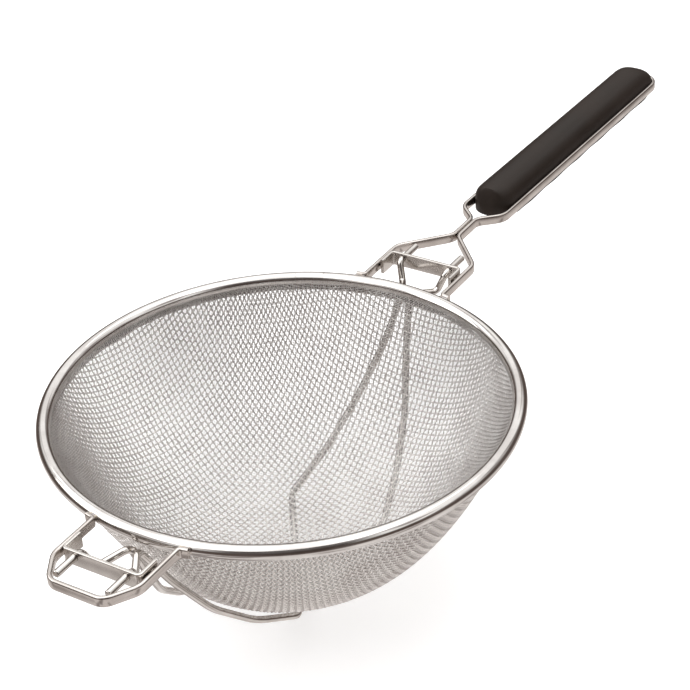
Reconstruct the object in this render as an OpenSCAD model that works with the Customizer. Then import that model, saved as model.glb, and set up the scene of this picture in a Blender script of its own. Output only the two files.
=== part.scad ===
// Double-mesh strainer with a pot hook, a strap handle and two crossed support wires.
// Frame: +X runs from the hook to the grip, +Y is to the left, +Z is up.
// The origin is the middle of the bounding box at its lowest level.

/* [Rim] */
// Outer diameter of the rim
rim_d = 260; // [220:5:300]
// Diameter of the round bead that edges the rim
bead_d = 8; // [7:0.5:9]
// Wall of the rolled rim band
band_wall = 0.8; // [0.6:0.1:1]
// Length of the piece that closes the rim band
rim_joint_len = 16.4; // [8:0.4:24]
// Direction of the closing piece, counted from the handle
rim_joint_azimuth = 25.5; // [22:0.5:150]

/* [Bowl] */
// Depth from the middle of the bead to the outside of the bowl
bowl_depth = 108; // [90:1:125]
// Fullness of the bowl: 2 is a parabola, 3 has a flatter bottom
bowl_fullness = 2.77; // [2.4:0.01:2.9]
// Thickness of the woven outer mesh, two wires deep
outer_mesh_t = 1.9; // [1.2:0.1:2]
// Thickness of the woven inner mesh, two wires deep
inner_mesh_t = 0.9; // [0.5:0.1:1]

/* [Straps] */
// Height of the hook's and handle's flat strap
strap_h = 6; // [5:0.5:7]
// Thickness of that strap
strap_t = 2.5; // [2:0.1:2.5]
// Width over the hook and over the handle's two legs
strap_span = 54; // [50:1:60]
// How far the hook reaches beyond the rim
hook_reach = 47; // [44:1:60]
// Length of the straight front bar of the hook
hook_bar = 32; // [28:1:36]

/* [Cross plates] */
// Distance from the rim to each cross plate
plate_reach = 25.6; // [24:0.2:27]
// Height of the cross plates
plate_h = 9; // [8:0.5:10]
// Thickness of the cross plates
plate_t = 2; // [1.5:0.1:2]
// Length of each plate's wings
wing_len = 12.5; // [9:0.5:13]

/* [Support wires] */
// Diameter of the two support wires
wire_d = 4; // [3:0.1:4.2]
// Sideways distance of the wire holes from the middle of a plate
wire_hole_y = 15.5; // [14:0.5:16]
// How far the wire ends stick out beyond the plates
wire_tip = 14.4; // [8:0.2:16]

/* [Handle] */
// Distance from the rim to the neck
neck_reach = 62; // [60:1:70]
// Length of the neck, where both legs lie together
neck_len = 21; // [16:1:26]
// Distance from the neck to the end of the handle
handle_len = 249; // [200:1:280]
// Width over the strap along the grip
grip_w = 30.5; // [28:0.5:34]
// Angle that the grip hangs below the rim's plane
handle_droop = 2; // [0:0.1:5]
// Height of the grip above the strap
grip_crown = 11.5; // [8:0.5:14]
// Depth of the grip below the strap
grip_belly = 4.5; // [3:0.5:7]
// Distance between the finger waves under the grip
finger_pitch = 33; // [25:1:40]

/* [Hidden] */
$fn = 64;

// Rim: the bead's centreline is a circle of radius rim_r at height 0
rim_out = rim_d / 2;
rim_r = rim_out - bead_d / 2;
core_gap = 0.3;
core_d = bead_d - 2 * band_wall - 2 * core_gap;
seam_gap = 0.2;
rim_joint_angle = arc_angle(rim_joint_len, rim_r);
seam_angle = arc_angle(seam_gap, rim_r);

// Bowl: the surface between the two meshes, whose mouth meets the bead from below
mesh_gap = 0.2;
mouth_r = rim_r - 0.55 * bead_d;
mouth_z = -0.475 * bead_d;
floor_z = outer_mesh_t + mesh_gap / 2 - bowl_depth;
bowl_steps = 28;
edge_share = 1.01;
edge_fit = 0.1;

// The rim band's lip, which runs down over the edge of the outer mesh
lip_t = 0.5;
lip_share = 0.997;
lip_steps = 2;
lip_away = mesh_gap / 2 + outer_mesh_t + edge_fit;

// Straps
strap_top = bead_d / 2 - 0.5;
strap_low = strap_top - strap_h;
strap_y = (strap_span - strap_t) / 2;
tab_bend_r = 2;
corner_r = 8;
shoulder_r = 12;
leg_r = 10;
arc_step = 9;
tab_gap = 0.1;
tab_len = 5;
tab_r = rim_out + tab_gap + strap_t / 2;
hook_front = rim_out + hook_reach;
hook_slant = 17;
leg_straight = 36;
weld_d = 2.4;

// Cross plates
plate_x = rim_out + plate_reach;
plate_rise = 1.7;
plate_top = strap_top + plate_rise;
plate_gap = 0.9;
wing_y = strap_span / 2 - strap_t - plate_gap - plate_t / 2;
wing_bend_r = 2;
spot_d = 5;
hole_clearance = 0.2;
hole_z = 1.8;

// Support wires
wire_sides = 12;
wire_gap = 0.2;
wire_upper_z = -bowl_depth - wire_gap - wire_d / 2;
wire_lower_z = wire_upper_z - wire_d - wire_gap / 2;
wire_weld_d = 0.8 * wire_d;
lowest_z = wire_lower_z - wire_d / 2;

// How the wires run: straight through the plates, down to a dip, together under the rim, then
// down the bowl by bends (share of the mouth's radius, turn from the X axis, distance from it)
hole_run = 3.8;
dip_run = 8.3;
dip_y = wire_hole_y - 4;
dip_z = -9.5;
rim_weld_x = rim_out + 0.4 * wire_d;
rim_weld_y = wire_d / 2 + 0.15;
rim_weld_z = -bead_d / 2 - 1.2;
crossing_turn = 34.9;
crossing_run = 8;
wire_bends = [[0.9, 3.7, 8.2], [0.76, 9.5, 8], [0.595, 18.2, 6.5], [0.423, crossing_turn, 6.1]];
wire_radii = [3.5, 4, 5, 60, 60, 60, 9, 40];

// Handle
neck_gap = 0.6;
neck_y = (neck_gap + strap_t) / 2;
neck_start = rim_out + neck_reach;
neck_end = neck_start + neck_len;
neck_weld_inset = 3;
neck_run_out = 2;
handle_end = neck_end + handle_len;
loop_y = (grip_w - strap_t) / 2;
loop_run_in = 14;
loop_end = handle_end - grip_w / 2;

// Grip
grip_fit = 0.1;
grip_half = loop_y - strap_t / 2 - grip_fit;
grip_low = strap_low - grip_fit;
grip_start = neck_end + 17.5;
grip_nose = 4;
nose_r = grip_half + 0.4;
tail_r = grip_half - 0.05;
straight_end = loop_end - 1.5;
belly_start = grip_start + nose_r + 1;
belly_end = handle_end - 19;
belly_run_in = 5;
belly_steps = 64;
first_wave = grip_start + 20;
finger_depth = 0.5;
crown_roundness = 0.85;
belly_roundness = 0.6;

// Where the bowl's axis stands in the part's own frame
axis_x = (hook_front - handle_end) / 2;

// ---- helpers ----

module placed() {
    translate([axis_x, 0, -lowest_z]) children();
}

module both_sides() {
    children();
    mirror([0, 1, 0]) children();
}

function arc_angle(length, r) = length / r * 180 / PI;
function unit(v) = v / norm(v);
function reversed(list) = [for (i = [len(list) - 1:-1:0]) list[i]];
function left_of(v) = [-v[1], v[0]];

// A line in plan that goes on, mirrored, from its last point back to its first
function and_back(half) = concat(half, [for (i = [len(half) - 2:-1:0]) [half[i][0], -half[i][1]]]);

// The arc that rounds corner b of the line a-b-c to radius r
function corner_arc(a, b, c, r) =
    let (
        u = unit(a - b),
        v = unit(c - b),
        half = acos(u * v) / 2,
        middle = b + unit(u + v) * r / sin(half),
        p = b + u * r / tan(half) - middle,
        q = b + v * r / tan(half) - middle,
        steps = max(2, ceil((180 - 2 * half) / arc_step))
    )
    [for (i = [0:steps]) middle + r * unit(p + (q - p) * i / steps)];

// A line through the points with every inner corner rounded to its own radius
function rounded_line(points, radii) =
    let (last = len(points) - 1)
    concat(
        [points[0]],
        [for (i = [1:last - 1]) each corner_arc(points[i - 1], points[i], points[i + 1], radii[i - 1])],
        [points[last]]
    );

function line_dir(line, i) =
    let (last = len(line) - 1)
    i == 0 ? unit(line[1] - line[0])
    : i == last ? unit(line[last] - line[last - 1])
    : unit(unit(line[i] - line[i - 1]) + unit(line[i + 1] - line[i]));

function side_line(line, distance) =
    [for (i = [0:len(line) - 1]) line[i] + distance * left_of(line_dir(line, i))];

// The outline of a strap that follows a line in plan
module strap_outline(line, thickness) {
    polygon(concat(side_line(line, thickness / 2), reversed(side_line(line, -thickness / 2))));
}

// A flat strap on edge
module strap(line, thickness, height, top) {
    translate([0, 0, top - height]) linear_extrude(height) strap_outline(line, thickness);
}

// ---- bowl profile ----

function bowl_z(r) = mouth_z + (floor_z - mouth_z) * (1 - pow(r / mouth_r, bowl_fullness));

function bowl_slope(r) =
    (mouth_z - floor_z) * bowl_fullness / mouth_r * pow(r / mouth_r, bowl_fullness - 1);

// A point of the profile, moved away from the inside of the bowl by a distance
function bowl_point(r, away) =
    let (slope = bowl_slope(r), size = sqrt(1 + slope * slope))
    [r + away * slope / size, bowl_z(r) - away / size];

// The profile between two shares of the mouth's radius
function bowl_line(from, to, away, steps) =
    [for (i = [0:steps]) bowl_point(mouth_r * (from + (to - from) * sin(90 * i / steps)), away)];

// A layer of the bowl, from one share of the mouth's radius up to the meshes' edge
module bowl_layer(from, away, thickness, steps, angle) {
    rotate_extrude(angle = angle)
        polygon(concat(
            bowl_line(from, edge_share, away, steps),
            reversed(bowl_line(from, edge_share, away + thickness, steps))
        ));
}

module rim_ring(d, angle) {
    rotate_extrude(angle = angle) translate([rim_r, 0]) circle(d = d);
}

// A woven shell whose edge is tucked under the bead
module mesh_shell(away, thickness) {
    difference() {
        bowl_layer(0, away, thickness, bowl_steps, 360);
        rim_ring(bead_d + 2 * edge_fit, 360);
    }
}

// ---- rim ----

// The band from one direction to another: a hollow bead with a lip outside the meshes
module rim_piece(from, angle) {
    difference() {
        rotate([0, 0, from]) {
            rim_ring(bead_d, angle);
            bowl_layer(lip_share, lip_away, lip_t, lip_steps, angle);
        }
        rim_ring(bead_d - 2 * band_wall, 360);
    }
}

module rim_band() {
    color("silver") placed()
        rim_piece(
            rim_joint_azimuth + rim_joint_angle / 2 + seam_angle,
            360 - rim_joint_angle - 2 * seam_angle
        );
}

module rim_joint() {
    color("gainsboro") placed()
        rim_piece(rim_joint_azimuth - rim_joint_angle / 2, rim_joint_angle);
}

module rim_core_wire() {
    color("darkgray") placed() rim_ring(core_d, 360);
}

// ---- meshes ----

module inner_mesh() {
    color("lightsteelblue") placed() mesh_shell(-mesh_gap / 2 - inner_mesh_t, inner_mesh_t);
}

module outer_mesh() {
    color("lightslategray") placed() mesh_shell(mesh_gap / 2, outer_mesh_t);
}

// ---- hook and handle straps ----

// Each strap ends in a tab that lies against the outside of the bead
tab_root_angle = asin(strap_y / tab_r);
tab_tip_angle = tab_root_angle + arc_angle(tab_len, tab_r);
tab = [for (a = [tab_tip_angle, tab_root_angle]) tab_r * [cos(a), sin(a)]];

module front_hook() {
    half = rounded_line(
        concat(tab, [
            [hook_front - hook_slant, strap_y],
            [hook_front - strap_t / 2, hook_bar / 2],
            [hook_front - strap_t / 2, 0]
        ]),
        [tab_bend_r, shoulder_r, corner_r]
    );
    color("silver") placed() mirror([1, 0, 0])
        strap(and_back(half), strap_t, strap_h, strap_top);
}

// The band in which the handle's strap lies, seen from the side: level, then drooping
module handle_side() {
    far = handle_end + strap_t;
    fall = (far - neck_end) * tan(handle_droop);
    polygon([
        [0, strap_low],
        [neck_end, strap_low],
        [far, strap_low - fall],
        [far, strap_top - fall],
        [neck_end, strap_top],
        [0, strap_top]
    ]);
}

module handle_strap() {
    leg = rounded_line(
        concat(tab, [
            [rim_out + leg_straight, strap_y],
            [neck_start, neck_y],
            [neck_end + neck_run_out, neck_y],
            [neck_end + loop_run_in, loop_y],
            [loop_end, loop_y]
        ]),
        [tab_bend_r, leg_r, leg_r, corner_r, shoulder_r]
    );
    end_arc = [for (a = [75:-15:0]) [loop_end + loop_y * cos(a), loop_y * sin(a)]];
    color("silver") placed()
        intersection() {
            rotate([90, 0, 0]) linear_extrude(2 * strap_span, center = true) handle_side();
            translate([0, 0, -strap_span])
                linear_extrude(2 * strap_span) strap_outline(and_back(concat(leg, end_arc)), strap_t);
        }
}

// Fillet of weld in the groove between a strap's tab and the top of the bead
module rim_welds() {
    both_sides()
        rotate([0, 0, tab_root_angle])
            rotate_extrude(angle = tab_tip_angle - tab_root_angle)
                translate([rim_out - weld_d / 4, strap_top - weld_d / 1.5]) circle(d = weld_d);
}

module hook_welds() {
    color("dimgray") placed() mirror([1, 0, 0]) rim_welds();
}

module handle_welds() {
    color("dimgray") placed() rim_welds();
}

module neck_weld() {
    color("dimgray") placed()
        translate([neck_start + neck_weld_inset, -neck_gap / 2, strap_low])
            cube([neck_len - 2 * neck_weld_inset, neck_gap, strap_h]);
}

// ---- cross plates ----

module cross_plate() {
    half = rounded_line(
        [[plate_x - wing_len, wing_y], [plate_x, wing_y], [plate_x, 0]],
        [wing_bend_r]
    );
    difference() {
        strap(and_back(half), plate_t, plate_h, plate_top);
        both_sides()
            translate([plate_x - plate_t, wire_hole_y, hole_z])
                rotate([0, 90, 0]) cylinder(d = wire_d + 2 * hole_clearance, h = 2 * plate_t);
    }
}

// Spot welds that bridge the gap between a wing and its strap
module plate_welds() {
    both_sides()
        translate([plate_x - wing_len / 2 - plate_t, wing_y + plate_t / 2, (strap_top + strap_low) / 2])
            rotate([-90, 0, 0]) cylinder(d = spot_d, h = plate_gap);
}

module front_cross_plate() {
    color("silver") placed() mirror([1, 0, 0]) cross_plate();
}

module rear_cross_plate() {
    color("silver") placed() cross_plate();
}

module front_plate_welds() {
    color("dimgray") placed() mirror([1, 0, 0]) plate_welds();
}

module rear_plate_welds() {
    color("dimgray") placed() plate_welds();
}

// ---- support wires ----

// A point of a wire beside the bowl
function over_bowl(side, share, turn, away) =
    let (p = bowl_point(share * mouth_r, away))
    [p[0] * cos(turn), side * p[0] * sin(turn), p[1]];

// Half of a wire, from its tip beyond a cross plate, past the middle of the rim
// and down the bowl to the level stretch where it crosses the other wire
function wire_half(side, crossing_z) = [
    [plate_x + plate_t / 2 + wire_tip, side * wire_hole_y, hole_z],
    [plate_x - hole_run, side * wire_hole_y, hole_z],
    [plate_x - dip_run, side * dip_y, dip_z],
    [rim_weld_x, side * rim_weld_y, rim_weld_z],
    for (bend = wire_bends) over_bowl(side, bend[0], bend[1], bend[2]),
    [crossing_run * cos(crossing_turn), side * crossing_run * sin(crossing_turn), crossing_z]
];

// Both halves, the second turned half round the bowl's axis
function wire_points(side, crossing_z) =
    let (half = wire_half(side, crossing_z))
    concat(half, [for (p = reversed(half)) [-p[0], -p[1], p[2]]]);

// One ring of a wire's skin, square to the direction that the wire runs in
function ring(middle, along) =
    let (a = unit(cross(along, [0, 1, 0])), b = cross(along, a))
    [for (k = [0:wire_sides - 1])
        middle + wire_d / 2 * (a * cos(360 * k / wire_sides) + b * sin(360 * k / wire_sides))];

module bent_wire(points) {
    line = rounded_line(points, concat(wire_radii, reversed(wire_radii)));
    last = len(line) - 1;
    n = wire_sides;
    skin = [for (i = [0:last]) for (k = [0:n - 1])
        let (a = i * n + k, b = i * n + (k + 1) % n)
        if (i < last) each [[a, b, a + n], [b, b + n, a + n]]];
    polyhedron(
        [for (i = [0:last]) each ring(line[i], line_dir(line, i))],
        concat([[for (k = [n - 1:-1:0]) k]], skin, [[for (k = [0:n - 1]) last * n + k]])
    );
}

module support_wire_left() {
    color("gray") placed() bent_wire(wire_points(1, wire_upper_z));
}

module support_wire_right() {
    color("gray") placed() bent_wire(wire_points(-1, wire_lower_z));
}

module wire_crossing_weld() {
    color("dimgray") placed()
        translate([0, 0, (wire_upper_z + wire_lower_z) / 2]) sphere(d = wire_weld_d);
}

module wire_meeting_weld() {
    translate([rim_weld_x, 0, rim_weld_z - 1]) sphere(d = wire_weld_d);
}

module front_wire_weld() {
    color("dimgray") placed() mirror([1, 0, 0]) wire_meeting_weld();
}

module rear_wire_weld() {
    color("dimgray") placed() wire_meeting_weld();
}

// ---- grip ----

// Half of a rounded outline, between two angles
function dome(half_w, height, from, roundness) = [for (a = [from:9:from + 180]) [
    half_w * sign(cos(a)) * pow(abs(cos(a)), roundness),
    height * sign(sin(a)) * pow(abs(sin(a)), roundness)
]];

// Cross-section: a domed crown between the strap's two sides and a belly below them
module grip_section() {
    union() {
        translate([0, strap_top]) polygon(dome(grip_half, grip_crown, 0, crown_roundness));
        translate([-grip_half, grip_low]) square([2 * grip_half, strap_top - grip_low]);
        translate([0, grip_low]) polygon(dome(loop_y, grip_belly, 180, belly_roundness));
    }
}

// Depth of the belly along the grip: it runs in at both ends and waves between them
function belly_depth(x) =
    (grip_belly - finger_depth * (1 + cos(360 * (x - first_wave) / finger_pitch)))
    * sin(90 * min(1, (x - belly_start) / belly_run_in, (belly_end - x) / belly_run_in));

// The grip's side view: a steep nose, a straight top, a waved belly
module grip_side() {
    high = strap_top + grip_crown + 1;
    step = (belly_end - belly_start) / belly_steps;
    polygon(concat(
        [
            [grip_start, grip_low],
            [grip_start + grip_nose, high],
            [handle_end, high],
            [handle_end, grip_low]
        ],
        [for (i = [belly_steps:-1:0])
            [belly_start + i * step, grip_low - belly_depth(belly_start + i * step)]]
    ));
}

// Round at the nose and at the end, and as wide as the strap's middle line between them
module grip_plan() {
    translate([grip_start + nose_r, 0]) circle(r = nose_r);
    translate([grip_start + nose_r, -loop_y]) square([straight_end - grip_start - nose_r, 2 * loop_y]);
    translate([loop_end, 0]) circle(r = tail_r);
}

module grip() {
    color("#2f2926") placed()
        intersection() {
            translate([neck_end, 0, 0]) rotate([0, handle_droop, 0]) translate([-neck_end, 0, 0])
                intersection() {
                    translate([grip_start - 1, 0, 0])
                        rotate([90, 0, 90]) linear_extrude(handle_len) grip_section();
                    rotate([90, 0, 0]) linear_extrude(2 * grip_w, center = true) grip_side();
                }
            translate([0, 0, -2 * grip_w]) linear_extrude(4 * grip_w) grip_plan();
        }
}

rim_band();
rim_joint();
rim_core_wire();
inner_mesh();
outer_mesh();
front_hook();
hook_welds();
front_cross_plate();
front_plate_welds();
handle_strap();
handle_welds();
rear_cross_plate();
rear_plate_welds();
neck_weld();
grip();
support_wire_left();
support_wire_right();
wire_crossing_weld();
front_wire_weld();
rear_wire_weld();
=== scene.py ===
"""The looks of a double-mesh strainer: two woven bowls in a rolled rim, a pot hook, a strap handle
with a moulded grip, and two crossed support wires.

Shapes are worked out in millimetres about the bowl's axis, with height 0 at the middle of the
rim's bead, and place() turns them into metres in the CAD frame.
"""

import math

import bmesh
import bpy
import numpy as np
from mathutils import Matrix, Vector
from mathutils.geometry import tessellate_polygon


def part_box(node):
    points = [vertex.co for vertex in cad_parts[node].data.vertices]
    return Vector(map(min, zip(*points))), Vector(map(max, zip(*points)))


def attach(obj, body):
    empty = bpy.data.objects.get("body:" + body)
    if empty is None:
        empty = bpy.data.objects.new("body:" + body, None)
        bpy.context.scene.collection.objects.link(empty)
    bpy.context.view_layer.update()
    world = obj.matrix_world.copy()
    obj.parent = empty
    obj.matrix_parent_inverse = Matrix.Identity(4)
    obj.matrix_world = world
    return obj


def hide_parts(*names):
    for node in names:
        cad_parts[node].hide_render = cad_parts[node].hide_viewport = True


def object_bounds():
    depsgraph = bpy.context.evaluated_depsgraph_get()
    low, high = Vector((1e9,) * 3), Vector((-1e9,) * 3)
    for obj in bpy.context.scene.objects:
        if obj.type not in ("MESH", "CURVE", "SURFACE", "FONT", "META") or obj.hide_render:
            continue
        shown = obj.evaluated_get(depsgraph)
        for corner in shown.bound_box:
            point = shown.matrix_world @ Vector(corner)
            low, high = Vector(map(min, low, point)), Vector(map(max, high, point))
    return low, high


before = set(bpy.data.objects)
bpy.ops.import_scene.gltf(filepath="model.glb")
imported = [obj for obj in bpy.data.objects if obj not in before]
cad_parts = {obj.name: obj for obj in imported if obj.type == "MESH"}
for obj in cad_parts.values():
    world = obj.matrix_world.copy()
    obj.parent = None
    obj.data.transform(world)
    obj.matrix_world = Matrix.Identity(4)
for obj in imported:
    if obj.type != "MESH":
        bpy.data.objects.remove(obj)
CAD_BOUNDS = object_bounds()
MM = 0.001
rng = np.random.default_rng(7)


# ---- sizes, in millimetres about the bowl's axis, read from the frame where it has them ----

def cad_box(node):
    """A CAD node's box about the bowl's axis: two arrays of x, y, z."""
    low, high = (np.array(corner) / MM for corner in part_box(node))
    return low - ORIGIN, high - ORIGIN


core_low, core_high = (np.array(corner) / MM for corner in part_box("rim_core_wire"))
ORIGIN = (core_low + core_high) / 2
CORE_D = core_high[2] - core_low[2]
RIM_R = (core_high[0] - core_low[0] - CORE_D) / 2
RIM_OUT = cad_box("rim_band")[1][0]
BEAD_R = RIM_OUT - RIM_R
CORE_GAP = 0.3
BAND_WALL = BEAD_R - CORE_D / 2 - CORE_GAP

# the clearance that the CAD leaves where two pieces touch
FIT = 0.1

# the bowl, as the surface between the two meshes
MESH_GAP = 0.2
FULLNESS = 2.77
MOUTH_R = RIM_R - 1.1 * BEAD_R
MOUTH_Z = -0.95 * BEAD_R
FLOOR_Z = cad_box("inner_mesh")[0][2] - MESH_GAP / 2
OUTER_T = FLOOR_Z - MESH_GAP / 2 - cad_box("outer_mesh")[0][2]
INNER_T = 0.9

# the weaves: pitch, turn of the main wires, and where the wires end inside the bead's wall
COARSE_PITCH = 3.15
COARSE_TURN = math.radians(-8)
COARSE_EDGE = MOUTH_R + 0.7
FINE_PITCH = 1.4
FINE_TURN = math.radians(21)
FINE_EDGE = MOUTH_R + 1.2
COARSE_WIRE = 0.88
FINE_WIRE = 0.3

# the rim band's lip, which runs down over the edge of the outer mesh
LIP_T = 0.5
LIP_SHARE = 0.997
LIP_AWAY = MESH_GAP / 2 + OUTER_T + FIT

# the short piece that closes the band: its direction, and half its angle and a seam's
JOINT_LEN = 16.4
JOINT_TURN = math.radians(25.5)
JOINT_HALF = JOINT_LEN / RIM_R / 2
SEAM_GAP = 0.2
SEAM_HALF = SEAM_GAP / RIM_R / 2

# straps
STRAP_LOW, STRAP_TOP = (corner[2] for corner in cad_box("front_hook"))
STRAP_H = STRAP_TOP - STRAP_LOW
STRAP_Z = (STRAP_LOW + STRAP_TOP) / 2
STRAP_T = 2.5
STRAP_Y = 25.75
STRAP_EDGE_R = 0.95
TAB_R = RIM_OUT + FIT + STRAP_T / 2
TAB_LEN = 5
TAB_ROOT = math.asin(STRAP_Y / TAB_R)
TAB_BEND_R = 2
CORNER_R = 8
SHOULDER_R = 12
LEG_R = 10
HOOK_FRONT = -cad_box("front_hook")[0][0]
HOOK_STRAIGHT = 30
HOOK_BAR_HALF = 16
LEG_STRAIGHT = 36
NECK_START = RIM_OUT + 62
NECK_END = NECK_START + 21
NECK_Y = 1.55
NECK_RUN_OUT = 2
LOOP_RUN_IN = 14
LOOP_Y = 14
HANDLE_END = cad_box("handle_strap")[1][0]
LOOP_END = HANDLE_END - LOOP_Y - STRAP_T / 2
DROOP = math.tan(math.radians(2))

# cross plates
PLATE_LOW, PLATE_TOP = (corner[2] for corner in cad_box("rear_cross_plate"))
PLATE_T = 2
PLATE_EDGE_R = 0.5
PLATE_X = cad_box("rear_cross_plate")[1][0] - PLATE_T / 2
WING_Y = cad_box("rear_cross_plate")[1][1] - PLATE_T / 2
WING_LEN = 12.5
WING_BEND_R = 2
HOLE_Y = 15.5
HOLE_Z = 1.8
HOLE_CLEARANCE = 0.2

# The support wires run straight through the plates, down to a dip, together under the rim, then
# down the bowl by bends (share of the mouth's radius, turn from X in degrees, distance from it).
WIRE_D = 4
WIRE_CHAMFER = 0.4
WIRE_TIP = cad_box("support_wire_left")[1][0]
HOLE_RUN = 3.8
DIP_RUN = 8.3
DIP_Y = HOLE_Y - 4
DIP_Z = -9.5
RIM_WELD_X = RIM_OUT + 1.6
RIM_WELD_Y = WIRE_D / 2 + 0.15
RIM_WELD_Z = -BEAD_R - 1.2
CROSSING_TURN = 34.9
CROSSING_RUN = 8
WIRE_BENDS = [(0.9, 3.7, 8.2), (0.76, 9.5, 8), (0.595, 18.2, 6.5), (0.423, CROSSING_TURN, 6.1)]
WIRE_RADII = [3.5, 4, 5, 60, 60, 60, 9, 40]
WIRE_UPPER_Z = cad_box("support_wire_left")[0][2] + WIRE_D / 2
WIRE_LOWER_Z = cad_box("support_wire_right")[0][2] + WIRE_D / 2

# grip: the crown between the strap's two sides, and the belly below the strap
GRIP_START = NECK_END + 17.5
GRIP_HALF = LOOP_Y - STRAP_T / 2 - FIT
GRIP_LOW = STRAP_LOW - FIT
GRIP_CROWN = 11.5
CROWN_INSET = 0.6
CROWN_ARCH = 1.5
GRIP_NOSE = 4
NOSE_SILL = 2
NOSE_SOFTNESS = 1.6
TAIL_RUN = 22
TAIL_POWER = 0.75
GRIP_BELLY = 4.5
BELLY_START = GRIP_START + GRIP_HALF
BELLY_END = HANDLE_END - 19
BELLY_RUN_IN = 5
FIRST_WAVE = GRIP_START + 20
FINGER_PITCH = 33
FINGER_DEPTH = 0.5
LEAST_DEPTH = 0.05
CROWN_SIDE_POWER = 0.8
CROWN_TOP_POWER = 0.9
BELLY_POWER = 0.55


# ---- mesh helpers ----

def place(points):
    """Millimetres about the bowl's axis to metres in the CAD frame."""
    return (np.asarray(points, float) + ORIGIN) * MM


def piece(name, points, faces, node_names, slot, material, crease=35):
    """A shown piece that stands for some CAD nodes. Faces meeting above the crease angle look sharp."""
    mesh = bpy.data.meshes.new(name)
    mesh.from_pydata([tuple(p) for p in place(points)], [], faces)
    mesh.validate()
    return finish_piece(name, mesh, node_names, material, crease)


def finish_piece(name, mesh, node_names, material, crease):
    """Smooths a mesh, gives it its material, ties it to the body and hides the CAD nodes it stands for.
    """
    mesh.polygons.foreach_set("use_smooth", [True] * len(mesh.polygons))
    if crease:
        mesh.set_sharp_from_angle(angle=math.radians(crease))
    mesh.materials.append(material)
    thing = bpy.data.objects.new(name, mesh)
    bpy.context.scene.collection.objects.link(thing)
    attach(thing, "root")
    if node_names:
        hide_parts(*node_names)
    return thing


def joined(parts):
    """Several (points, faces) lists as one."""
    points, faces = [], []
    for some_points, some_faces in parts:
        faces += [[i + len(points) for i in face] for face in some_faces]
        points += [tuple(p) for p in some_points]
    return points, faces


def unit(v):
    """The vector at length 1."""
    return v / np.linalg.norm(v)


def corner_arc(a, b, c, r, step):
    """The arc that rounds corner b of the line a-b-c to radius r."""
    u, v = unit(a - b), unit(c - b)
    half = math.acos(np.clip(u @ v, -1, 1)) / 2
    middle = b + unit(u + v) * r / math.sin(half)
    p = b + u * r / math.tan(half) - middle
    q = b + v * r / math.tan(half) - middle
    count = max(2, math.ceil((math.pi - 2 * half) / math.radians(step)))
    return [middle + r * unit(p + (q - p) * i / count) for i in range(count + 1)]


def rounded_line(points, radii, step=5):
    """A line through points, its inner corners rounded in arcs of that many degrees a step."""
    points = [np.array(p, float) for p in points]
    line = [points[0]]
    for a, b, c, r in zip(points, points[1:], points[2:], radii):
        line += corner_arc(a, b, c, r, step)
    return np.array([*line, points[-1]])


def and_back(half):
    """A line in plan that goes on, mirrored, from its last point back to its first."""
    return np.vstack([half, half[-2::-1] * [1, -1]])


def directions(line):
    """Unit directions along a line, one for each point."""
    steps = np.diff(line, axis=0)
    steps /= np.linalg.norm(steps, axis=1)[:, None]
    middle = steps[:-1] + steps[1:]
    middle /= np.linalg.norm(middle, axis=1)[:, None]
    return np.vstack([steps[:1], middle, steps[-1:]])


def subdivided(line, longest):
    """The line with extra points, so that no step is longer than asked."""
    out = [line[0]]
    for a, b in zip(line, line[1:]):
        count = max(1, math.ceil(np.linalg.norm(b - a) / longest))
        out += [a + (b - a) * i / count for i in range(1, count + 1)]
    return np.array(out)


def loft(rings):
    """Quads between rings of equal length, and a face on each end."""
    count = len(rings[0])
    points = [p for ring in rings for p in ring]
    faces = []
    for i in range(len(rings) - 1):
        for k in range(count):
            a, b = i * count + k, i * count + (k + 1) % count
            faces.append([a, b, b + count, a + count])
    last = (len(rings) - 1) * count
    return points, [*faces, list(range(count - 1, -1, -1)), [last + k for k in range(count)]]


def rounded_box_section(width, height, radius, steps=3):
    """A closed outline of (sideways, up) points."""
    points = []
    for corner, (sx, sz) in enumerate([(1, 1), (-1, 1), (-1, -1), (1, -1)]):
        middle = ((width / 2 - radius) * sx, (height / 2 - radius) * sz)
        for i in range(steps + 1):
            a = math.pi / 2 * (corner + i / steps)
            points.append((middle[0] + radius * math.cos(a), middle[1] + radius * math.sin(a)))
    return points


def strap(line, thickness, low, top, radius, droop=None):
    """A flat strap on edge along a line in plan, with rounded edges and slightly rounded ends."""
    line = subdivided(line, longest=6)
    along = directions(line)
    side = np.column_stack([-along[:, 1], along[:, 0]])
    section = rounded_box_section(thickness, top - low, radius)
    rings = []
    for p, s in zip(line, side):
        fall = droop(p[0]) if droop else 0
        rings.append([(*(p + s * w), (low + top) / 2 + h - fall) for w, h in section])
    return loft(rings)


def tube(line, radius, sides=16, tip=0.0):
    """A round bar along a line, its ends chamfered by tip."""
    line = subdivided(line, longest=5)
    along = directions(line)
    if tip:
        near_start, near_end = line[0] + along[0] * tip, line[-1] - along[-1] * tip
        line = np.vstack([line[0], near_start, line[1:-1], near_end, line[-1]])
        along = directions(line)
    radii = np.full(len(line), radius)
    if tip:
        radii[[0, -1]] = radius - tip
    rings = []
    for p, t, r in zip(line, along, radii):
        a = unit(np.cross(t, [0, 1, 0]))
        b = np.cross(t, a)
        turns = [2 * math.pi * k / sides for k in range(sides)]
        rings.append([p + r * (a * math.cos(w) + b * math.sin(w)) for w in turns])
    return loft(rings)


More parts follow.
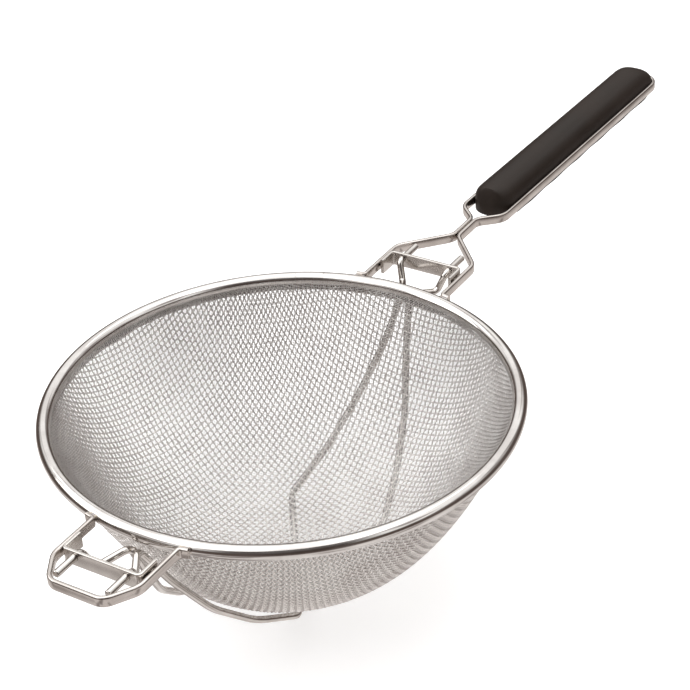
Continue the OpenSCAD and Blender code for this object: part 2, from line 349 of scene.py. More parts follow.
def lathe(outlines, start, turn, segments):
    """Outlines of (radius, height) turned round the bowl's axis, the later ones being hollows."""
    points, faces = [], []
    whole = turn > 2 * math.pi - 1e-6
    steps = segments if whole else segments + 1
    for number, outline in enumerate(outlines):
        base, count = len(points), len(outline)
        for i in range(steps):
            w = start + turn * i / segments
            points += [(r * math.cos(w), r * math.sin(w), z) for r, z in outline]
        for i in range(segments):
            for k in range(count):
                a = base + i * count + k
                b = base + i * count + (k + 1) % count
                c = base + (i + 1) % steps * count + (k + 1) % count
                d = base + (i + 1) % steps * count + k
                faces.append([a, d, c, b] if number == 0 else [a, b, c, d])
    if not whole:
        flat = tessellate_polygon([[Vector((r, z, 0)) for r, z in outline] for outline in outlines])
        index = []
        base = 0
        for outline in outlines:
            index += [(base, len(outline), k) for k in range(len(outline))]
            base += len(outline) * steps
        for far in (False, True):
            ids = [b + (count * segments if far else 0) + k for b, count, k in index]
            for triangle in flat:
                corners = [ids[i] for i in triangle]
                faces.append(corners if far else corners[::-1])
    return points, faces


def blob(middle, size, wobble):
    """A small rounded bead of weld, slightly uneven."""
    ball = bmesh.new()
    bmesh.ops.create_icosphere(ball, subdivisions=3, radius=1)
    points = [np.array(v.co) for v in ball.verts]
    faces = [[v.index for v in face.verts] for face in ball.faces]
    ball.free()
    shift = rng.uniform(0, 6, 3)
    waves = [math.sin(3 * p[0] + shift[0]) * math.sin(4 * p[1] + shift[1]) for p in points]
    return [middle + p * size * (1 + wobble * k - wobble) for p, k in zip(points, waves)], faces


# ---- the bowl's surface and its weave ----

def bowl_z(r):
    """Height of the bowl at a radius. Beyond the mouth it goes on straight, into the bead."""
    rise = (FLOOR_Z - MOUTH_Z) * (1 - (np.minimum(r, MOUTH_R) / MOUTH_R) ** FULLNESS)
    return MOUTH_Z + rise + np.maximum(r - MOUTH_R, 0) * bowl_slope(MOUTH_R)


def bowl_slope(r):
    """Steepness of the bowl at a radius."""
    share = np.minimum(r, MOUTH_R) / MOUTH_R
    return (MOUTH_Z - FLOOR_Z) * FULLNESS / MOUTH_R * share ** (FULLNESS - 1)


def bowl_point(r, away):
    """A point of the profile, moved away from the inside of the bowl."""
    slope = bowl_slope(r)
    size = math.sqrt(1 + slope * slope)
    return r + away * slope / size, bowl_z(r) - away / size


def outward(points):
    """Unit normals of the bowl at points of it, away from its inside."""
    r = np.maximum(np.hypot(points[:, 0], points[:, 1]), 1e-9)
    slope = bowl_slope(r)
    normal = np.column_stack([slope * points[:, 0] / r, slope * points[:, 1] / r, -np.ones(len(points))])
    return normal / np.linalg.norm(normal, axis=1)[:, None]


def meet(a, b, guess, side):
    """Points of the bowl that are one side away from both a and b, by Newton's method."""
    p = guess.copy()
    for _ in range(8):
        r = np.maximum(np.hypot(p[:, 0], p[:, 1]), 1e-9)
        p[:, 2] = bowl_z(r)
        tilt = bowl_slope(r)[:, None] * p[:, :2] / r[:, None]
        da, db = p - a, p - b
        ja = 2 * (da[:, :2] + da[:, 2:] * tilt)
        jb = 2 * (db[:, :2] + db[:, 2:] * tilt)
        fa = (da ** 2).sum(1) - side ** 2
        fb = (db ** 2).sum(1) - side ** 2
        det = ja[:, 0] * jb[:, 1] - ja[:, 1] * jb[:, 0]
        p[:, 0] -= (fa * jb[:, 1] - fb * ja[:, 1]) / det
        p[:, 1] -= (ja[:, 0] * fb - jb[:, 0] * fa) / det
    p[:, 2] = bowl_z(np.hypot(p[:, 0], p[:, 1]))
    return p


def quarter_net(pitch):
    """A quarter of the net that a square weave makes when it is pressed into the bowl: each cell
    keeps its four sides, so the cells shear into diamonds between the two main directions."""
    r = [0.0]
    while r[-1] < MOUTH_R + 3 * pitch:
        ahead = r[-1] + pitch / math.sqrt(1 + bowl_slope(r[-1]) ** 2)
        for _ in range(4):
            run, rise = ahead - r[-1], bowl_z(ahead) - bowl_z(r[-1])
            ahead -= (math.hypot(run, rise) - pitch) / math.sqrt(1 + bowl_slope(ahead) ** 2)
        r.append(ahead)
    count = len(r)
    net = np.full((count, count, 3), np.nan)
    zeros = np.zeros(count)
    net[:, 0] = np.column_stack([r, zeros, bowl_z(np.array(r))])
    net[0, :] = np.column_stack([zeros, r, bowl_z(np.array(r))])
    for total in range(2, 2 * count - 1):
        i = np.arange(max(1, total - count + 1), min(count - 1, total - 1) + 1)
        j = total - i
        a, b, c = net[i - 1, j], net[i, j - 1], net[i - 1, j - 1]
        live = np.isfinite(a[:, 0]) & np.isfinite(b[:, 0]) & np.isfinite(c[:, 0])
        if not live.any():
            continue
        i, j, a, b, c = i[live], j[live], a[live], b[live], c[live]
        found = meet(a, b, a + b - c, pitch)
        found[np.hypot(found[:, 0], found[:, 1]) > MOUTH_R + 3 * pitch] = np.nan
        net[i, j] = found
    return net


def whole_net(pitch, weave_turn):
    """The net over the whole bowl, as points by (number along, number across)."""
    quarter = quarter_net(pitch)
    n = len(quarter)
    net = np.full((2 * n - 1, 2 * n - 1, 3), np.nan)
    across, along = np.meshgrid(np.arange(-n + 1, n), np.arange(-n + 1, n))
    x, y = along, across
    for turn, (i, j) in enumerate([(x, y), (y, -x), (-x, -y), (-y, x)]):
        mine = (i >= 0) & (j >= 0)
        w = weave_turn + turn * math.pi / 2
        spun = quarter[i[mine], j[mine]] @ np.array(
            [[math.cos(w), math.sin(w), 0], [-math.sin(w), math.cos(w), 0], [0, 0, 1]])
        net[mine] = spun
    return net


def woven_wires(pitch, weave_turn, edge_r, wire_d, away, halves):
    """Each wire of a plain weave as (points, normals), in and out past the ones it crosses.
    With halves there is also a point between every two crossings."""
    net = whole_net(pitch, weave_turn)
    size = len(net)
    wires = []
    for crosswise in (False, True):
        for a in range(size):
            row = net[:, a] if crosswise else net[a]
            r = np.hypot(row[:, 0], row[:, 1])
            inside = np.flatnonzero(np.isfinite(r) & (r <= edge_r))
            if len(inside) < 2:
                continue
            first, last = inside[0], inside[-1]
            points = row[first:last + 1]
            height = wire_d / 2 * (-1.0) ** (np.arange(first, last + 1) + a + crosswise)
            for end, beyond in ((first, first - 1), (last, last + 1)):
                if 0 <= beyond < size and np.isfinite(r[beyond]):
                    t = (edge_r - r[end]) / (r[beyond] - r[end])
                    cut = row[end] + t * (row[beyond] - row[end])
                    level = wire_d / 2 * (-1.0) ** (end + a + crosswise) * (1 - 2 * t)
                    before = beyond < end
                    points = np.vstack([cut, points]) if before else np.vstack([points, cut])
                    height = np.append(level, height) if before else np.append(height, level)
            if halves:
                points = np.insert(points, range(1, len(points)), (points[1:] + points[:-1]) / 2, axis=0)
                height = np.insert(height, range(1, len(height)), (height[1:] + height[:-1]) / 2)
            normals = outward(points)
            wires.append((points + normals * (away + height)[:, None], normals))
    return wires


def woven_bowl(name, node, material, weave, wire_d, away, sides, halves):
    """All the wires of one mesh as one piece. A weave is its pitch, its turn and its edge's radius."""
    rings, starts, total = [], [], 0
    turns = np.arange(sides) * 2 * math.pi / sides
    for points, normals in woven_wires(*weave, wire_d, away, halves):
        along = directions(points)
        across = np.cross(along, normals)
        across /= np.linalg.norm(across, axis=1)[:, None]
        up = np.cross(across, along)
        ring = points[:, None] + wire_d / 2 * (
            np.cos(turns)[None, :, None] * up[:, None] + np.sin(turns)[None, :, None] * across[:, None])
        rings.append(ring.reshape(-1, 3))
        starts.append((total, len(points)))
        total += len(points) * sides
    k = np.arange(sides)
    quads, caps = [], []
    for start, count in starts:
        i = np.arange(count - 1)[:, None] * sides + start
        a, b = i + k, i + (k + 1) % sides
        quads.append(np.stack([a, a + sides, b + sides, b], -1).reshape(-1, 4))
        caps += [start + k, start + (count - 1) * sides + k[::-1]]
    quads = np.vstack(quads)
    corners = np.concatenate([quads.ravel(), np.concatenate(caps)])
    sizes = np.concatenate([np.full(len(quads), 4), np.full(len(caps), sides)])
    mesh = bpy.data.meshes.new(name)
    mesh.vertices.add(total)
    mesh.vertices.foreach_set("co", place(np.vstack(rings)).ravel())
    mesh.loops.add(len(corners))
    mesh.loops.foreach_set("vertex_index", corners.astype(np.int32))
    mesh.polygons.add(len(sizes))
    mesh.polygons.foreach_set("loop_start", (np.cumsum(sizes) - sizes).astype(np.int32))
    mesh.update(calc_edges=True)
    mesh.validate()
    return finish_piece(name, mesh, [node], material, None)


def make_fine_mesh():
    """The inner bowl. Its wires are so thin that four sides and a point at each crossing do."""
    weave = (FINE_PITCH, FINE_TURN, FINE_EDGE)
    away = -(MESH_GAP + INNER_T) / 2
    woven_bowl("fine_weave", "inner_mesh", FINE, weave, FINE_WIRE, away, 4, False)


def make_coarse_mesh():
    """The outer bowl."""
    weave = (COARSE_PITCH, COARSE_TURN, COARSE_EDGE)
    away = (MESH_GAP + OUTER_T) / 2
    woven_bowl("coarse_weave", "outer_mesh", COARSE, weave, COARSE_WIRE, away, 6, True)


# ---- materials ----

def new_material(name):
    """A material with its nodes and links."""
    material = bpy.data.materials.new(name)
    material.use_nodes = True
    return material, material.node_tree.nodes, material.node_tree.links


def noise(nodes, links, scale, detail, stretch=(1, 1, 1)):
    """Noise that lies still on the object. Scale is in features per metre."""
    where = nodes.new("ShaderNodeTexCoord")
    mapping = nodes.new("ShaderNodeMapping")
    mapping.inputs["Scale"].default_value = stretch
    texture = nodes.new("ShaderNodeTexNoise")
    texture.inputs["Scale"].default_value = scale
    texture.inputs["Detail"].default_value = detail
    links.new(where.outputs["Object"], mapping.inputs["Vector"])
    links.new(mapping.outputs["Vector"], texture.inputs["Vector"])
    return texture.outputs["Fac"]


def between(nodes, links, value, low, high):
    """A noise's middle range turned into a range of another value."""
    ranged = nodes.new("ShaderNodeMapRange")
    ranged.inputs["From Min"].default_value = 0.3
    ranged.inputs["From Max"].default_value = 0.7
    ranged.inputs["To Min"].default_value = low
    ranged.inputs["To Max"].default_value = high
    links.new(value, ranged.inputs["Value"])
    return ranged.outputs["Result"]


def two_tone(nodes, links, value, dark, light):
    """A noise's middle range turned into a colour between two."""
    ramp = nodes.new("ShaderNodeValToRGB")
    ramp.color_ramp.elements[0].position = 0.35
    ramp.color_ramp.elements[1].position = 0.65
    ramp.color_ramp.elements[0].color = (*dark, 1)
    ramp.color_ramp.elements[1].color = (*light, 1)
    links.new(value, ramp.inputs["Fac"])
    return ramp.outputs["Color"]


def bump(nodes, links, shader, value, strength, distance):
    """Small relief on a shader, as deep as the distance in millimetres."""
    node = nodes.new("ShaderNodeBump")
    node.inputs["Strength"].default_value = strength
    node.inputs["Distance"].default_value = distance * MM
    links.new(value, node.inputs["Height"])
    links.new(node.outputs["Normal"], shader.inputs["Normal"])


def steel(name, dark, light, roughness, grain, depth, stretch=(1, 1, 1)):
    """Steel whose tone wanders between dark and light and whose roughness wanders in a range, with
    grain of that many features per metre."""
    material, nodes, links = new_material(name)
    shader = nodes["Principled BSDF"]
    shader.inputs["Metallic"].default_value = 1
    clouds = noise(nodes, links, scale=60, detail=3)
    links.new(two_tone(nodes, links, clouds, dark, light), shader.inputs["Base Color"])
    fine = noise(nodes, links, grain, detail=4, stretch=stretch)
    links.new(between(nodes, links, fine, *roughness), shader.inputs["Roughness"])
    bump(nodes, links, shader, fine, strength=0.15, distance=depth)
    return material


def grip_composite():
    """Dark moulded composite with a fine pebbled grain and a few paler flecks."""
    material, nodes, links = new_material("grip_composite")
    shader = nodes["Principled BSDF"]
    clouds = noise(nodes, links, scale=45, detail=5, stretch=(0.4, 1, 1))
    tone = two_tone(nodes, links, clouds, dark=(0.018, 0.013, 0.010), light=(0.028, 0.020, 0.016))
    links.new(tone, shader.inputs["Base Color"])
    shader.inputs["Specular IOR Level"].default_value = 0.22
    pebbles = noise(nodes, links, scale=1500, detail=3)
    links.new(between(nodes, links, clouds, low=0.36, high=0.5), shader.inputs["Roughness"])
    bump(nodes, links, shader, pebbles, strength=0.5, distance=0.08)
    return material


def weld_metal():
    """Weld bead: duller than the steel, with straw and blue-grey heat tints and ripples."""
    material, nodes, links = new_material("weld")
    shader = nodes["Principled BSDF"]
    shader.inputs["Metallic"].default_value = 1
    heat = noise(nodes, links, scale=350, detail=3)
    tint = two_tone(nodes, links, heat, dark=(0.30, 0.29, 0.31), light=(0.62, 0.55, 0.46))
    links.new(tint, shader.inputs["Base Color"])
    links.new(between(nodes, links, heat, low=0.3, high=0.5), shader.inputs["Roughness"])
    ripples = noise(nodes, links, scale=1400, detail=2)
    bump(nodes, links, shader, ripples, strength=0.6, distance=0.15)
    return material


def floor_paint():
    """A matt white that glows a little, so that the floor stays white under the object."""
    material, nodes, links = new_material("pale_floor")
    shader = nodes["Principled BSDF"]
    shader.inputs["Roughness"].default_value = 0.9
    shader.inputs["Specular IOR Level"].default_value = 0.1
    shader.inputs["Emission Color"].default_value = (1, 1, 1, 1)
    shader.inputs["Emission Strength"].default_value = 0.45
    clouds = noise(nodes, links, scale=3, detail=2)
    tone = two_tone(nodes, links, clouds, dark=(0.90, 0.90, 0.90), light=(0.92, 0.92, 0.92))
    links.new(tone, shader.inputs["Base Color"])
    return material


POLISHED = steel("polished_steel", dark=(0.66, 0.63, 0.61), light=(0.80, 0.78, 0.76),
                 roughness=(0.07, 0.16), grain=500, depth=0.01)
STRAP = steel("strap_steel", dark=(0.53, 0.49, 0.46), light=(0.66, 0.62, 0.59),
              roughness=(0.12, 0.2), grain=900, depth=0.03, stretch=(1, 1, 4))
PLATE = steel("plate_steel", dark=(0.60, 0.57, 0.54), light=(0.72, 0.69, 0.66),
              roughness=(0.14, 0.24), grain=900, depth=0.03)
WIRE = steel("wire_steel", dark=(0.60, 0.57, 0.54), light=(0.74, 0.71, 0.68),
             roughness=(0.06, 0.13), grain=700, depth=0.015)
CORE = steel("core_steel", dark=(0.45, 0.44, 0.43), light=(0.58, 0.57, 0.55),
             roughness=(0.3, 0.45), grain=600, depth=0.02)
# Painted light and shade: the coarse mesh's steel is painted much paler than the other steels so its
# wires stand out bright, and the fine mesh's steel is painted darker than it for the shade it lies in
# behind the coarse wires.
COARSE = steel("coarse_mesh", dark=(0.88, 0.85, 0.83), light=(0.95, 0.93, 0.91),
               roughness=(0.14, 0.24), grain=900, depth=0.02)
FINE = steel("fine_mesh", dark=(0.68, 0.66, 0.65), light=(0.78, 0.77, 0.76),
             roughness=(0.25, 0.38), grain=1500, depth=0.01)
WELD = weld_metal()
GRIP = grip_composite()


# ---- rim ----

def bead_arc(first, last, step, radius):
    """Points of the bead's round section, angles in degrees from straight out."""
    count = round((last - first) / step)
    turns = [math.radians(first + (last - first) * i / count) for i in range(count + 1)]
    return [(RIM_R + radius * math.cos(w), radius * math.sin(w)) for w in turns]


def lip_line(away):
    """A side of the lip, from its tip up to the bowl's mouth."""
    shares = [LIP_SHARE, (LIP_SHARE + 1) / 2, 1]
    return [bowl_point(MOUTH_R * share, away) for share in shares]


def rim_outline(swell=0.0):
    """The band's section: a bead with a lip below it. Swell makes the bead a little fatter."""
    tip_share = LIP_SHARE - 0.0008
    tip = bowl_point(MOUTH_R * tip_share, LIP_AWAY + LIP_T / 2)
    return [
        *bead_arc(-112, 240, 5.5, BEAD_R + swell),
        *lip_line(LIP_AWAY)[::-1], tip, *lip_line(LIP_AWAY + LIP_T),
    ]


def make_rim():
    """The band round the bowl, and the slightly fatter short piece that closes it."""
    hollow = bead_arc(0, 351, 9, BEAD_R - BAND_WALL)
    band_start = JOINT_TURN + JOINT_HALF + SEAM_HALF
    band_turn = 2 * math.pi - 2 * (JOINT_HALF + SEAM_HALF)
    band = lathe([rim_outline(), hollow], band_start, band_turn, 288)
    piece("rim_band_steel", *band, ["rim_band"], "polished_steel", POLISHED, 40)
    joint = lathe([rim_outline(swell=0.12), hollow], JOINT_TURN - JOINT_HALF, 2 * JOINT_HALF, 16)
    piece("rim_joint_steel", *joint, ["rim_joint"], "polished_steel", POLISHED, 40)


# ---- straps and plates ----

def tab():
    """The tab's two ends, against the outside of the bead."""
    turns = (TAB_ROOT + TAB_LEN / TAB_R, TAB_ROOT)
    return [TAB_R * np.array([math.cos(w), math.sin(w)]) for w in turns]


def handle_fall(x):
    """How far the handle hangs below the rim's level."""
    return max(0, x - NECK_END) * DROOP


def make_hook():
    """Out from one tab, along the front bar and back to the other tab."""
    front = HOOK_FRONT - STRAP_T / 2
    half = rounded_line(
        [*tab(), (RIM_OUT + HOOK_STRAIGHT, STRAP_Y), (front, HOOK_BAR_HALF), (front, 0)],
        [TAB_BEND_R, SHOULDER_R, CORNER_R])
    line = and_back(half) * [-1, 1]
    shape = strap(line[::-1], STRAP_T, STRAP_LOW, STRAP_TOP, STRAP_EDGE_R)
    piece("hook_strap", *shape, ["front_hook"], "strap_steel", STRAP)


def make_handle_strap():
    """One leg from its tab through the neck and along the grip, the round end, and the other leg."""
    leg = rounded_line(
        [*tab(), (RIM_OUT + LEG_STRAIGHT, STRAP_Y), (NECK_START, NECK_Y),
         (NECK_END + NECK_RUN_OUT, NECK_Y), (NECK_END + LOOP_RUN_IN, LOOP_Y), (LOOP_END, LOOP_Y)],
        [TAB_BEND_R, LEG_R, LEG_R, CORNER_R, SHOULDER_R])
    turns = [math.radians(a) for a in range(84, -1, -6)]
    end = [(LOOP_END + LOOP_Y * math.cos(w), LOOP_Y * math.sin(w)) for w in turns]
    line = and_back(np.vstack([leg, end]))
    shape = strap(line, STRAP_T, STRAP_LOW, STRAP_TOP, STRAP_EDGE_R, handle_fall)
    piece("handle_strap_steel", *shape, ["handle_strap"], "strap_steel", STRAP)


def make_plate(name, node, flip):
    """A pressed channel, bent from one wing to the other, with two holes for the wires."""
    corners = [(PLATE_X - WING_LEN, WING_Y), (PLATE_X, WING_Y), (PLATE_X, 0)]
    half = rounded_line(corners, [WING_BEND_R], step=10)
    line = and_back(half) * [flip, 1]
    shape = strap(line[::flip], PLATE_T, PLATE_LOW, PLATE_TOP, PLATE_EDGE_R)
    plate = piece(name, *shape, [node], "plate_steel", PLATE)
    for side in (-1, 1):
        middle = np.array([PLATE_X * flip, side * HOLE_Y, HOLE_Z])
        bore(plate, middle, WIRE_D / 2 + HOLE_CLEARANCE)


def bore(plate, middle, radius):
    """Cuts a round hole along X through a plate."""
    run = np.array([2.0 * PLATE_T, 0, 0])
    points, faces = tube(np.array([middle - run, middle + run]), radius, sides=32)
    mesh = bpy.data.meshes.new("drill")
    mesh.from_pydata([tuple(p) for p in place(points)], [], faces)
    drill = bpy.data.objects.new("drill", mesh)
    bpy.context.scene.collection.objects.link(drill)
    cut = plate.modifiers.new("hole", "BOOLEAN")
    cut.object = drill
    cut.operation = "DIFFERENCE"
    cut.solver = "EXACT"
    depsgraph = bpy.context.evaluated_depsgraph_get()
    done = bpy.data.meshes.new_from_object(plate.evaluated_get(depsgraph))
    plate.modifiers.clear()
    plate.data = done
    bpy.data.objects.remove(drill)


# ---- support wires ----

def over_bowl(side, share, turn, away):
    """A bend over the bowl: its share of the bowl's radius, its turn from X, its distance away."""
    r, z = bowl_point(share * MOUTH_R, away)
    w = math.radians(turn)
    return [r * math.cos(w), side * r * math.sin(w), z]


def make_wire(name, node, side, crossing_z):
    """A wire from the rear plate down to the crossing, and the same turned round to the front plate."""
    turn = math.radians(CROSSING_TURN)
    half = [
        [WIRE_TIP, side * HOLE_Y, HOLE_Z],
        [PLATE_X - HOLE_RUN, side * HOLE_Y, HOLE_Z],
        [PLATE_X - DIP_RUN, side * DIP_Y, DIP_Z],
        [RIM_WELD_X, side * RIM_WELD_Y, RIM_WELD_Z],
        *[over_bowl(side, *bend) for bend in WIRE_BENDS],
        [CROSSING_RUN * math.cos(turn), side * CROSSING_RUN * math.sin(turn), crossing_z],
    ]
    other = [[-x, -y, z] for x, y, z in reversed(half)]
    line = rounded_line(half + other, WIRE_RADII + WIRE_RADII[::-1], step=4)
    shape = tube(line, WIRE_D / 2, sides=20, tip=WIRE_CHAMFER)
    piece(name, *shape, [node], "wire_steel", WIRE, crease=30)


# ---- welds ----

def make_rim_welds(name, node, flip):
    """A row of small beads in the groove between each tab and the rim."""
    count, groove_r, groove_z = 5, RIM_OUT - 0.5, 1.9
    size = np.array([1.15, 1.15, 1.1])
    parts = []
    for side in (-1, 1):
        for i in range(count):
            w = TAB_ROOT + TAB_LEN / TAB_R * (i + 0.5) / count
            middle = np.array([flip * groove_r * math.cos(w), side * groove_r * math.sin(w), groove_z])
            parts.append(blob(middle, size, wobble=0.1))
    piece(name, *joined(parts), [node], "weld", WELD)


def make_spot_welds(name, node, flip):
    """A flat button between each wing of a plate and the strap beside it."""
    spot_r, spot_t = 2.5, 0.45
    x = flip * (PLATE_X - WING_LEN / 2 - PLATE_T)
    parts = []
    for side in (-1, 1):
        y = side * (WING_Y + PLATE_T / 2 + spot_t)
        parts.append(blob(np.array([x, y, STRAP_Z]), np.array([spot_r, spot_t, spot_r]), wobble=0.02))
    piece(name, *joined(parts), [node], "weld", WELD)


def make_neck_weld():
    """A thin rippled seam between the two legs of the neck."""
    count, inset, seam_half_t = 12, 3, 0.3
    run = (NECK_END - NECK_START - 2 * inset) / count
    size = np.array([run * 0.5, seam_half_t, STRAP_H / 2])
    parts = []
    for i in range(count):
        middle = np.array([NECK_START + inset + run * (i + 0.5), 0, STRAP_Z])
        parts.append(blob(middle, size, wobble=0.03))
    piece("neck_weld_seam", *joined(parts), ["neck_weld"], "weld", WELD)


def make_wire_welds():
    """A bead where the wires cross under the bowl, and one under the rim at each end."""
    size = np.full(3, WIRE_D * 0.42)
    wobble = 0.06
    middle = (WIRE_UPPER_Z + WIRE_LOWER_Z) / 2
    shape = blob(np.array([0, 0, middle]), size, wobble)
    piece("crossing_weld_bead", *shape, ["wire_crossing_weld"], "weld", WELD)
    for name, node, flip in (("front", "front_wire_weld", -1), ("rear", "rear_wire_weld", 1)):
        spot = np.array([flip * RIM_WELD_X, 0, RIM_WELD_Z - 1])
        piece(name + "_wire_weld_bead", *blob(spot, size, wobble), [node], "weld", WELD)


# ---- grip ----

def soft_min(a, b, softness):
    """The lesser of two values, with a rounded change from one to the other."""
    h = max(softness - abs(a - b), 0) / softness
    return min(a, b) - h * h * softness / 4


def half_width(x):
    """Half the grip's width between the strap's sides, round in plan at both ends."""
    from_start, to_end = x - GRIP_START, LOOP_END + GRIP_HALF - x
    near = max(GRIP_HALF - from_start, GRIP_HALF - to_end, 0)
    return math.sqrt(max(GRIP_HALF ** 2 - near ** 2, 0.01))


def crown_height(x):
    """Top of the grip above its underside: a steep nose, a level run and a tail that rounds off."""
    full = STRAP_H + GRIP_CROWN
    nose = NOSE_SILL + (x - GRIP_START) * full / GRIP_NOSE
    crown = soft_min(full - CROWN_INSET, nose, NOSE_SOFTNESS)
    tail = min(max(LOOP_END + GRIP_HALF - x, 0) / TAIL_RUN, 1)
    rounded = (1 - (1 - tail) ** 2) ** TAIL_POWER
    return min(crown, STRAP_H + (GRIP_CROWN - CROWN_INSET) * rounded)


def belly_depth(x):
    """Depth of the grip below the strap, with shallow finger waves."""
    run_in = min(1, max(0, x - BELLY_START) / BELLY_RUN_IN, max(0, BELLY_END - x) / BELLY_RUN_IN)
    wave = FINGER_DEPTH * (1 + math.cos(2 * math.pi * (x - FIRST_WAVE) / FINGER_PITCH))
    return max((GRIP_BELLY - wave) * math.sin(math.pi / 2 * run_in), LEAST_DEPTH)


def grip_ring(x, crown_steps=24, belly_steps=16):
    """The grip's closed outline at one place along it, as points: over the crown from left to
    right, then back under the belly, which is wider because it covers the strap's two sides."""
    half, crown, belly = half_width(x), crown_height(x), belly_depth(x)
    belly_half = LOOP_Y if BELLY_START < x < BELLY_END else half
    shoulder = max(min(STRAP_H, crown - CROWN_ARCH), LEAST_DEPTH)
    seat = GRIP_LOW + 0.02
    ring = []
    for i in range(crown_steps + 1):
        w = math.pi * i / crown_steps
        across = math.copysign(abs(math.cos(w)) ** CROWN_SIDE_POWER, math.cos(w))
        up = math.sin(w) ** CROWN_TOP_POWER
        ring.append((across * half, GRIP_LOW + shoulder + (crown - shoulder) * up))
    ring.append((-half, seat))
    for i in range(belly_steps + 1):
        w = math.pi + math.pi * i / belly_steps
        across = math.copysign(abs(math.cos(w)) ** BELLY_POWER, math.cos(w))
        down = max(-math.sin(w), 0) ** BELLY_POWER
        ring.append((across * belly_half, GRIP_LOW - belly * down))
    ring.append((half, seat))
    fall = handle_fall(x)
    return [(x, y, z - fall) for y, z in ring]


def make_grip():
    """Rings along the grip, close together at its round nose and tail."""
    nose_steps, body_steps, tail_steps = 24, 110, 28
    inset = 0.05
    quarter = math.pi / 2
    front = GRIP_START + inset
    nose = [front + GRIP_HALF * (1 - math.cos(quarter * i / nose_steps)) for i in range(nose_steps)]
    body_from, body_to = BELLY_START + 2 * inset, LOOP_END - 2 * inset
    body = [body_from + (body_to - body_from) * i / body_steps for i in range(body_steps + 1)]
    tail_r = GRIP_HALF - inset
    tail = [LOOP_END + tail_r * math.sin(quarter * i / tail_steps) for i in range(tail_steps + 1)]
    shape = loft([grip_ring(x) for x in nose + body + tail])
    piece("grip_moulding", *shape, ["grip"], "grip_composite", GRIP, crease=50)


# ---- surroundings ----

def make_floor():
    """A wide white floor just under the lowest point. Shiny pieces don't mirror it."""
    half_size, gap = 6, 0.0005
    grid = bmesh.new()
    bmesh.ops.create_grid(grid, x_segments=8, y_segments=8, size=half_size)
    mesh = bpy.data.meshes.new("floor")
    grid.to_mesh(mesh)
    grid.free()
    mesh.materials.append(floor_paint())
    floor = bpy.data.objects.new("floor", mesh)
    floor.location.z = CAD_BOUNDS[0].z - gap
    floor.visible_glossy = False
    bpy.context.scene.collection.objects.link(floor)


def area_light(name, at, size, power):
    """A rectangular lamp that faces the bowl."""
    aim = Vector((0, 0, 0.08))
    light = bpy.data.lights.new(name, "AREA")
    light.shape = "RECTANGLE"
    light.size, light.size_y = size
    light.energy = power
    lamp = bpy.data.objects.new(name, light)
    lamp.location = at
    lamp.rotation_euler = (aim - Vector(at)).to_track_quat("-Z", "Y").to_euler()
    bpy.context.scene.collection.objects.link(lamp)


def ranged(nodes, links, value, low, high, most):
    """A value's range from low to high, turned into 0 to most."""
    node = nodes.new("ShaderNodeMapRange")
    node.inputs["From Min"].default_value = low
    node.inputs["From Max"].default_value = high
    node.inputs["To Max"].default_value = most
    links.new(value, node.inputs["Value"])
    return node.outputs["Result"]


def mixed(nodes, links, share, colour, other):
    """A colour with a share of another one mixed in."""
    node = nodes.new("ShaderNodeMixRGB")
    node.inputs["Color2"].default_value = (*other, 1)
    links.new(share, node.inputs["Fac"])
    links.new(colour, node.inputs["Color1"])
    return node.outputs["Color"]


def studio_by_height(nodes, links, where):
    """The studio's tone by height: pale below, dark about the horizon, bright above."""
    split = nodes.new("ShaderNodeSeparateXYZ")
    ramp = nodes.new("ShaderNodeValToRGB")
    links.new(where, split.inputs["Vector"])
    links.new(ranged(nodes, links, split.outputs["Z"], -1, 1, most=1), ramp.inputs["Fac"])
    stops = ramp.color_ramp.elements
    stops[0].position, stops[0].color = 0.0, (0.90, 0.86, 0.84, 1)
    stops[1].position, stops[1].color = 1.0, (1.25, 1.25, 1.25, 1)
    for position, tone in ((0.27, (0.80, 0.75, 0.72)), (0.38, (0.12, 0.09, 0.08)),
                           (0.62, (0.10, 0.08, 0.07)), (0.72, (1.1, 1.08, 1.06))):
        stop = stops.new(position)
        stop.color = (*tone, 1)
    return ramp.outputs["Color"]


def studio_patches(nodes, links, where):
    """Large soft patches, where the studio is darker."""
    patches = nodes.new("ShaderNodeTexNoise")
    patches.inputs["Scale"].default_value = 2.2
    patches.inputs["Detail"].default_value = 1
    links.new(where, patches.inputs["Vector"])
    return ranged(nodes, links, patches.outputs["Fac"], 0.5, 0.62, most=0.75)


def camera_booth(nodes, links, where):
    """The dark card that the camera stands in front of."""
    toward = nodes.new("ShaderNodeVectorMath")
    toward.operation = "DOT_PRODUCT"
    toward.inputs[1].default_value = (-0.70, -0.465, 0.545)
    links.new(where, toward.inputs[0])
    return ranged(nodes, links, toward.outputs["Value"], 0.78, 0.93, most=0.9)


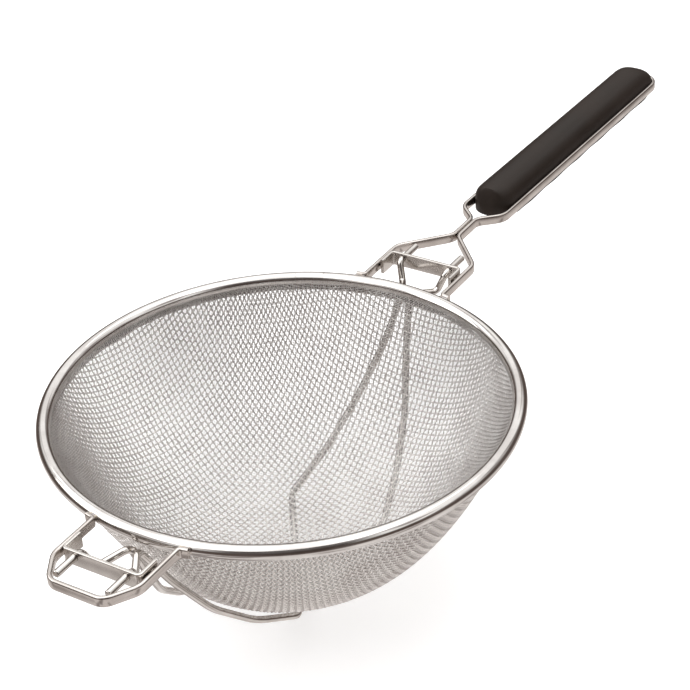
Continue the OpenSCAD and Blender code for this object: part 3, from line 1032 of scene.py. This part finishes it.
def make_light():
    """A bright studio with dark bands and cards, which the polished steel mirrors, and two lamps."""
    world = bpy.data.worlds.new("studio")
    bpy.context.scene.world = world
    world.use_nodes = True
    nodes, links = world.node_tree.nodes, world.node_tree.links
    where = nodes.new("ShaderNodeTexCoord").outputs["Generated"]
    tone = studio_by_height(nodes, links, where)
    tone = mixed(nodes, links, studio_patches(nodes, links, where), tone, other=(0.16, 0.13, 0.12))
    tone = mixed(nodes, links, camera_booth(nodes, links, where), tone, other=(0.06, 0.045, 0.04))
    links.new(tone, nodes["Background"].inputs["Color"])
    nodes["Background"].inputs["Strength"].default_value = 1.0
    area_light("overhead", at=(-0.2, 0.3, 1.6), size=(2.4, 2.4), power=18)
    area_light("side", at=(-0.9, 1.4, 0.9), size=(1.2, 0.8), power=6)


def make_camera():
    """Looks down into the bowl from beside the hook, across it towards the grip."""
    lens_mm, sensor_mm = 99.6, 36
    at = Vector(place([-675.3, -492.1, 572.5]))
    heading, tilt, roll = (math.radians(a) for a in (33.64, -32.88, -3.84))
    level_x, level_y = math.cos(heading), math.sin(heading)
    forward = Vector((math.cos(tilt) * level_x, math.cos(tilt) * level_y, math.sin(tilt)))
    data = bpy.data.cameras.new("camera")
    data.lens, data.sensor_width = lens_mm, sensor_mm
    data.clip_start, data.clip_end = 0.01, 50
    camera = bpy.data.objects.new("camera", data)
    level = forward.to_track_quat("-Z", "Y").to_matrix().to_4x4()
    camera.matrix_world = Matrix.Translation(at) @ level @ Matrix.Rotation(roll, 4, "Z")
    bpy.context.scene.collection.objects.link(camera)
    bpy.context.scene.camera = camera
    bpy.context.scene.view_settings.view_transform = "Standard"


def dress_core():
    """The wire inside the bead keeps its CAD shape and gets its steel."""
    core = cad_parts["rim_core_wire"]
    core.data.materials.clear()
    core.data.materials.append(CORE)


make_rim()
make_fine_mesh()
make_coarse_mesh()
make_hook()
make_handle_strap()
make_plate("front_plate_steel", "front_cross_plate", -1)
make_plate("rear_plate_steel", "rear_cross_plate", 1)
make_wire("support_wire_a", "support_wire_left", 1, WIRE_UPPER_Z)
make_wire("support_wire_b", "support_wire_right", -1, WIRE_LOWER_Z)
make_rim_welds("hook_weld_beads", "hook_welds", -1)
make_rim_welds("handle_weld_beads", "handle_welds", 1)
make_spot_welds("front_spot_welds", "front_plate_welds", -1)
make_spot_welds("rear_spot_welds", "rear_plate_welds", 1)
make_neck_weld()
make_wire_welds()
make_grip()
dress_core()
make_floor()
make_light()
make_camera()
